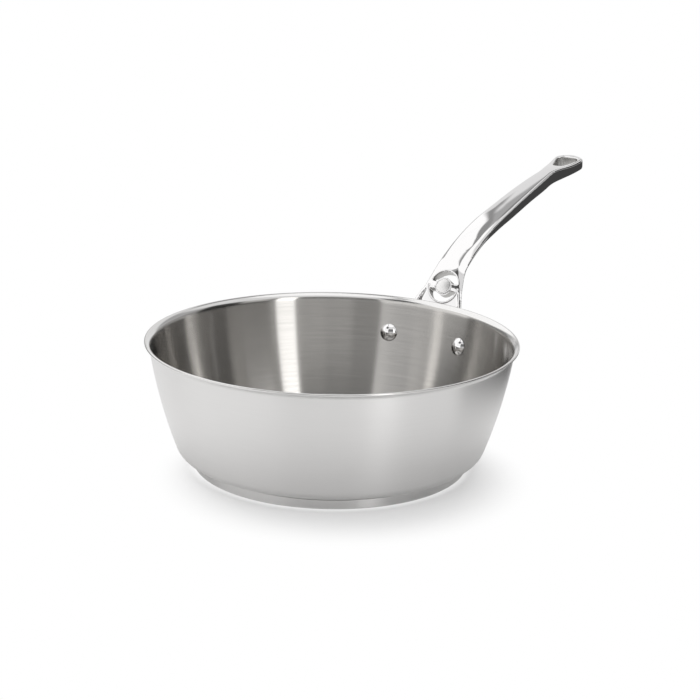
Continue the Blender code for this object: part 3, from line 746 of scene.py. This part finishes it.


# Stainless steel brushed round the pan's axis, which draws lights out into upright bands: colour,
# darker lines, roughness and anisotropy. The real lines are under 0.1 mm apart, too fine to show,
# so they are drawn 0.25 mm apart, in bands of 0.9 mm
# Inside colours darker than the outside's, on the same steel: painted shade inside the pan
INSIDE_STEEL_AND_SHADE = ("#C5C3C0", "#BEBCB9", 0.18, 1.0)
OUTSIDE_STEEL = ("#E1E0DF", "#E0DFDE", 0.36, 0.85)
BRUSH_PITCH = 0.25 * MM
BRUSH_BAND = 0.9 * MM
BRUSH_LENGTH = 40.0 * MM
BRUSH_DEPTH = 0.002 * MM
BRUSH_DETAIL = 2.0
# The part of the bands' noise over which light turns to dark
BAND_LIGHT = 0.35
BAND_DARK = 0.65
# A quarter turn, so that the reflections stretch across the lines
BRUSH_ROTATION = 0.25


def brushed_steel(name, light, dark, roughness, anisotropy):
    """Fine lines round the axis, which stretch each reflection up and down the wall."""
    material, tree, shader = new_material(name)
    place = add_node(tree, "ShaderNodeTexCoord", {}, {})
    parts = add_node(tree, "ShaderNodeSeparateXYZ", {}, {0: place.outputs["Object"]})
    level = add_node(tree, "ShaderNodeVectorMath", {"operation": 'MULTIPLY'},
                     {0: place.outputs["Object"], 1: (1, 1, 0)})
    radius = add_node(tree, "ShaderNodeVectorMath", {"operation": 'LENGTH'}, {0: level.outputs[0]})
    around = add_node(tree, "ShaderNodeVectorMath", {"operation": 'NORMALIZE'},
                      {0: level.outputs[0]})
    along = add_node(tree, "ShaderNodeMath", {"operation": 'ADD'},
                     {0: radius.outputs["Value"], 1: parts.outputs["Z"]})
    turn = RIM_RADIUS / BRUSH_LENGTH
    noises = []
    for pitch in (BRUSH_PITCH, BRUSH_BAND):
        scaled = add_node(tree, "ShaderNodeMath", {"operation": 'DIVIDE'},
                          {0: along.outputs[0], 1: pitch})
        lift = add_node(tree, "ShaderNodeCombineXYZ", {}, {"Z": scaled.outputs[0]})
        where = add_node(tree, "ShaderNodeVectorMath", {"operation": 'MULTIPLY_ADD'},
                         {0: around.outputs[0], 1: (turn, turn, 0), 2: lift.outputs[0]})
        noises.append(add_node(tree, "ShaderNodeTexNoise", {},
                               {"Vector": where.outputs[0], "Scale": 1.0,
                                "Detail": BRUSH_DETAIL}))
    fine, band = noises
    share = add_node(tree, "ShaderNodeMapRange", {},
                     {0: band.outputs[0], 1: BAND_LIGHT, 2: BAND_DARK})
    tint = add_node(tree, "ShaderNodeMix", {"data_type": 'RGBA'},
                    {0: share.outputs[0], 6: linear(light), 7: linear(dark)})
    tree.links.new(tint.outputs[2], shader.inputs["Base Color"])
    bump = add_node(tree, "ShaderNodeBump", {}, {"Height": fine.outputs[0], "Strength": 1.0,
                                                 "Distance": BRUSH_DEPTH})
    tree.links.new(bump.outputs[0], shader.inputs["Normal"])
    tangent = add_node(tree, "ShaderNodeTangent", {"direction_type": 'RADIAL', "axis": 'Z'}, {})
    tree.links.new(tangent.outputs[0], shader.inputs["Tangent"])
    shader.inputs["Roughness"].default_value = roughness
    shader.inputs["Anisotropic"].default_value = anisotropy
    shader.inputs["Anisotropic Rotation"].default_value = BRUSH_ROTATION
    return material


# Finishes as colour, roughness, width of the surface's waves or grain, and its depth
GRAIN_DETAIL = 1.0
# Cast stainless steel, polished by hand: it shows the studio sharply and a little wavy
POLISHED_STEEL = ("#E6E5E5", 0.05, 9.0 * MM, 0.004 * MM)
# The rolled rim, buffed round: softer and a little greyer than the handle
RIM_STEEL = ("#DEDDDC", 0.14, 9.0 * MM, 0.004 * MM)
# Cut walls of the crescents and the hanging hole, as cast: dull grey and grainy
# Their darker grey is partly painted shade inside the cuts
ROUGH_SHADED_STEEL = ("#BEBDBB", 0.42, 1.2 * MM, 0.03 * MM)
# Face of the round disc, blasted: a pale even sheen. Its real grain of about 0.1 mm is too fine
# to show, so it is drawn coarser
SATIN_STEEL = ("#E2E1E0", 0.28, 0.8 * MM, 0.003 * MM)
# Aluminium of the base's core, as cast: matt and light grey
CORE_ALUMINIUM = ("#C4C5C8", 0.5, 1.5 * MM, 0.02 * MM)


def worked_metal(name, colour, roughness, grain, depth):
    """Bare metal whose surface rises and falls with its finish."""
    material, tree, shader = new_material(name)
    place = add_node(tree, "ShaderNodeTexCoord", {}, {})
    wave = add_node(tree, "ShaderNodeTexNoise", {}, {"Vector": place.outputs["Object"],
                                                     "Scale": 1 / grain,
                                                     "Detail": GRAIN_DETAIL})
    bump = add_node(tree, "ShaderNodeBump", {}, {"Height": wave.outputs[0], "Strength": 1.0,
                                                 "Distance": depth})
    tree.links.new(bump.outputs[0], shader.inputs["Normal"])
    shader.inputs["Base Color"].default_value = linear(colour)
    shader.inputs["Roughness"].default_value = roughness
    return material


# Camera

CAMERA_DISTANCE = 1.1635
CAMERA_ELEVATION = radians(19.849)
CAMERA_ROLL = radians(1.186)
CAMERA_LENS = 88.24
AIM_SIDEWAYS = 11.9 * MM
AIM_HEIGHT = 77.5 * MM
# How far the handle is turned from the camera's right towards the back, seen from above
HANDLE_TURN = radians(54.25)


def add_camera():
    """Stands in front of the pan, with the handle going back to the right."""
    place = Vector((0, -CAMERA_DISTANCE * cos(CAMERA_ELEVATION),
                    CAMERA_DISTANCE * sin(CAMERA_ELEVATION)))
    forward = Vector((AIM_SIDEWAYS, 0, AIM_HEIGHT)) - place
    turn = forward.to_track_quat('-Z', 'Y').to_matrix().to_4x4()
    roll = Matrix.Rotation(CAMERA_ROLL, 4, 'Z')
    data = bpy.data.cameras.new("camera")
    data.lens = CAMERA_LENS
    camera = bpy.data.objects.new("camera", data)
    bpy.context.scene.collection.objects.link(camera)
    camera.matrix_world = (Matrix.Rotation(-HANDLE_TURN, 4, 'Z') @ Matrix.Translation(place)
                           @ turn @ roll)
    bpy.context.scene.camera = camera


# Studio

# White table top. Its right edge, a little turned, shows in the steel as the start of a dark room
FLOOR_SIZE = 6000.0 * MM
FLOOR_RIGHT_EDGE = 230.0 * MM
FLOOR_TURN = radians(15)
FLOOR_DROP = 0.05 * MM
FLOOR_COLOUR = "#F5F5F5"
# Where the paint shows, with the pan's shadow on it: an ellipse in the camera's frame, the share
# of its reach at which it starts to turn to plain white, how much white the camera sees in the
# shadow, and how much further the paint reaches for all but the camera
SHADOW_CENTRE = (8.0 * MM, -30.0 * MM, 0.0)
SHADOW_REACH = (126.0 * MM, 124.0 * MM, 1.0)
SHADOW_FADE = 0.62
SHADOW_LIFT = 0.38
SHADOW_SPREAD = 1.35
# Painted light: a bright ring on the floor round the foot of the base, for light it throws back
FOOT_PAINTED_GLOW = 0.3
FOOT_PAINTED_GLOW_REACH = 4.5 * MM

# Light of the room where no panel is
ROOM_LEVEL = 0.45

# What the steel sees round it, by direction in the camera's frame, each over the ones before:
# azimuth from behind the camera, positive to its right, half its width, elevation, half its
# height, the softness of its edge, its strength, and how far it leans for each degree upwards
Panel = namedtuple("Panel", "azimuth half_width elevation half_height soft strength lean",
                   defaults=(0.0,))
PANELS = (
    # Ceiling
    Panel(0.0, 180.0, 90.0, 27.0, 3.0, 1.25),
    # High front, light at the right too, dark behind
    Panel(20.0, 80.0, 51.0, 12.0, 4.0, 0.85),
    Panel(122.0, 26.0, 50.0, 12.0, 4.0, 0.9),
    Panel(155.0, 9.0, 51.0, 8.0, 2.0, 0.28),
    # Front left, low and high
    Panel(-67.0, 35.0, 4.0, 14.0, 2.0, 1.25),
    Panel(-67.0, 35.0, 30.0, 13.0, 2.0, 1.15),
    # Backdrop
    Panel(169.0, 19.0, 13.0, 29.0, 2.0, 0.88),
    # Dark frame of the large soft box at the back left, and the box with its slanted corner
    Panel(-126.0, 50.0, 52.0, 18.0, 1.5, 0.33),
    Panel(-125.0, 47.0, 33.0, 15.0, 1.5, 1.25),
    Panel(-124.0, 40.0, 56.0, 9.0, 1.0, 1.25, 0.9),
    Panel(-109.0, 31.0, 42.0, 24.0, 1.5, 1.25),
    # Dark stand at the front left
    Panel(-57.0, 14.0, 50.0, 9.0, 2.0, 0.1),
    # Back left, low
    Panel(-125.0, 25.0, 3.0, 13.0, 3.0, 0.25),
    # Back right, low
    Panel(125.0, 25.0, 5.0, 13.0, 4.0, 0.5),
    # Dark room past the table's right edge
    Panel(115.0, 40.0, -50.0, 42.0, 3.0, 0.06),
    # Dark room at the right, with a light wall over it and light low down, past the table
    Panel(72.0, 29.0, 20.0, 20.0, 3.0, 0.02),
    Panel(56.0, 11.0, 31.0, 10.0, 3.0, 0.9),
    Panel(60.0, 26.0, -12.0, 11.0, 3.0, 1.0),
    # Front, low at the left and right, and dark above
    Panel(-21.0, 11.0, 4.0, 15.0, 3.0, 0.5),
    Panel(6.0, 19.0, 4.0, 15.0, 3.0, 0.65),
    Panel(-4.0, 29.0, 31.0, 12.0, 2.0, 0.2),
    # Narrow strip light at the front right
    Panel(32.0, 6.6, 17.0, 26.0, 1.0, 2.85),
)


def add_floor():
    """A pale floor that keeps the pan's shadow and runs out to plain white."""
    start_piece()
    bpy.ops.mesh.primitive_plane_add(size=FLOOR_SIZE)
    floor = bpy.context.object
    floor.name = "floor"
    floor.data.transform(Matrix.Rotation(-HANDLE_TURN, 4, 'Z')
                         @ Matrix.Translation((FLOOR_RIGHT_EDGE, 0, -FLOOR_DROP))
                         @ Matrix.Rotation(FLOOR_TURN, 4, 'Z')
                         @ Matrix.Translation((-FLOOR_SIZE / 2, 0, 0)))
    material = bpy.data.materials.new("pale_floor")
    material.use_nodes = True
    tree = material.node_tree
    tree.nodes.clear()
    place = add_node(tree, "ShaderNodeTexCoord", {}, {})
    facing = add_node(tree, "ShaderNodeVectorRotate", {"rotation_type": 'Z_AXIS'},
                      {"Vector": place.outputs["Object"], "Angle": HANDLE_TURN})
    shifted = add_node(tree, "ShaderNodeVectorMath", {"operation": 'SUBTRACT'},
                       {0: facing.outputs[0], 1: SHADOW_CENTRE})
    scaled = add_node(tree, "ShaderNodeVectorMath", {"operation": 'DIVIDE'},
                      {0: shifted.outputs[0], 1: SHADOW_REACH})
    reach = add_node(tree, "ShaderNodeVectorMath", {"operation": 'LENGTH'},
                     {0: scaled.outputs[0]})
    path = add_node(tree, "ShaderNodeLightPath", {}, {})
    lift = add_node(tree, "ShaderNodeMath", {"operation": 'MULTIPLY'},
                    {0: path.outputs["Is Camera Ray"], 1: SHADOW_LIFT})
    spread = add_node(tree, "ShaderNodeMapRange", {},
                      {0: path.outputs["Is Camera Ray"], 3: 1 / SHADOW_SPREAD, 4: 1.0})
    away = add_node(tree, "ShaderNodeMath", {"operation": 'MULTIPLY'},
                    {0: reach.outputs["Value"], 1: spread.outputs[0]})
    clear = add_node(tree, "ShaderNodeMapRange", {"interpolation_type": 'SMOOTHSTEP'},
                     {0: away.outputs[0], 1: SHADOW_FADE, 2: 1.0, 3: lift.outputs[0]})
    radius = add_node(tree, "ShaderNodeVectorMath", {"operation": 'LENGTH'},
                      {0: place.outputs["Object"]})
    # Painted light: the floor turns brighter near the base's foot, fading over its reach
    painted_glow = add_node(tree, "ShaderNodeMapRange", {},
                    {0: radius.outputs["Value"], 1: BASE_RADIUS, 2: BASE_RADIUS + FOOT_PAINTED_GLOW_REACH,
                     3: FOOT_PAINTED_GLOW, 4: 0.0})
    lit = add_node(tree, "ShaderNodeMath", {"operation": 'ADD', "use_clamp": True},
                   {0: clear.outputs[0], 1: painted_glow.outputs[0]})
    mirrored = add_node(tree, "ShaderNodeMath", {"operation": 'MAXIMUM'},
                        {0: path.outputs["Is Glossy Ray"], 1: path.outputs["Is Transmission Ray"]})
    looked_at = add_node(tree, "ShaderNodeMath", {"operation": 'MAXIMUM'},
                         {0: path.outputs["Is Camera Ray"], 1: mirrored.outputs[0]})
    seen = add_node(tree, "ShaderNodeMath", {"operation": 'MULTIPLY'},
                    {0: lit.outputs[0], 1: looked_at.outputs[0]})
    paint = add_node(tree, "ShaderNodeBsdfDiffuse", {}, {"Color": linear(FLOOR_COLOUR)})
    white = add_node(tree, "ShaderNodeEmission", {}, {"Strength": 1.0})
    mix = add_node(tree, "ShaderNodeMixShader", {}, {0: seen.outputs[0], 1: paint.outputs[0],
                                                     2: white.outputs[0]})
    add_node(tree, "ShaderNodeOutputMaterial", {}, {"Surface": mix.outputs[0]})
    floor.data.materials.append(material)


def light_room():
    """The studio round the pan, seen only in the steel: the camera sees plain white."""
    world = bpy.data.worlds.new("studio")
    bpy.context.scene.world = world
    world.use_nodes = True
    tree = world.node_tree
    tree.nodes.clear()
    place = add_node(tree, "ShaderNodeTexCoord", {}, {})
    turned_back = add_node(tree, "ShaderNodeVectorRotate",
                           {"rotation_type": 'Z_AXIS'},
                           {"Vector": place.outputs["Generated"], "Angle": HANDLE_TURN})
    parts = add_node(tree, "ShaderNodeSeparateXYZ", {}, {0: turned_back.outputs[0]})
    front = add_node(tree, "ShaderNodeMath", {"operation": 'MULTIPLY'},
                     {0: parts.outputs["Y"], 1: -1.0})
    azimuth = add_node(tree, "ShaderNodeMath", {"operation": 'ARCTAN2'},
                       {0: parts.outputs["X"], 1: front.outputs[0]})
    elevation = add_node(tree, "ShaderNodeMath", {"operation": 'ARCSINE'},
                         {0: parts.outputs["Z"]})
    level = ROOM_LEVEL
    for panel in PANELS:
        masks = []
        for angle, middle, half in ((azimuth, panel.azimuth, panel.half_width),
                                    (elevation, panel.elevation, panel.half_height)):
            away = add_node(tree, "ShaderNodeMath", {"operation": 'SUBTRACT'},
                            {0: angle.outputs[0], 1: radians(middle)})
            if panel.lean and angle is azimuth:
                rise = add_node(tree, "ShaderNodeMath", {"operation": 'SUBTRACT'},
                                {0: elevation.outputs[0], 1: radians(panel.elevation)})
                away = add_node(tree, "ShaderNodeMath", {"operation": 'MULTIPLY_ADD'},
                                {0: rise.outputs[0], 1: -panel.lean, 2: away.outputs[0]})
            wrap = add_node(tree, "ShaderNodeMath", {"operation": 'WRAP'},
                            {0: away.outputs[0], 1: pi, 2: -pi})
            size = add_node(tree, "ShaderNodeMath", {"operation": 'ABSOLUTE'},
                            {0: wrap.outputs[0]})
            masks.append(add_node(tree, "ShaderNodeMapRange",
                                  {"interpolation_type": 'SMOOTHSTEP'},
                                  {0: size.outputs[0], 1: radians(half + panel.soft),
                                   2: radians(half - panel.soft)}))
        mask = add_node(tree, "ShaderNodeMath", {"operation": 'MULTIPLY'},
                        {0: masks[0].outputs[0], 1: masks[1].outputs[0]})
        level = add_node(tree, "ShaderNodeMix", {},
                         {0: mask.outputs[0], 2: level, 3: panel.strength}).outputs[0]
    path = add_node(tree, "ShaderNodeLightPath", {}, {})
    shown = add_node(tree, "ShaderNodeMix", {}, {0: path.outputs["Is Camera Ray"], 2: level,
                                                 3: 1.0})
    light = add_node(tree, "ShaderNodeBackground", {}, {"Color": (1, 1, 1, 1),
                                                        "Strength": shown.outputs[0]})
    add_node(tree, "ShaderNodeOutputWorld", {}, {"Surface": light.outputs[0]})


# Build

add_camera()
inside = brushed_steel("brushed_and_shaded_inside", *INSIDE_STEEL_AND_SHADE)
outside = brushed_steel("brushed_outside", *OUTSIDE_STEEL)
polished = worked_metal("polished_casting", *POLISHED_STEEL)
make_vessel(inside, outside, worked_metal("polished_rim", *RIM_STEEL))
make_base_cap(outside)
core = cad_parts["base_core"]
core.material_slots[0].material = worked_metal("cast_aluminium", *CORE_ALUMINIUM)
make_handle(polished, worked_metal("rough_shaded_casting", *ROUGH_SHADED_STEEL))
make_medallion(worked_metal("satin_disc", *SATIN_STEEL))
make_rivet("rivet_left_body", "rivet_left", 1, polished)
make_rivet("rivet_right_body", "rivet_right", -1, polished)
add_floor()
light_room()

bpy.context.scene.view_settings.view_transform = 'Standard'
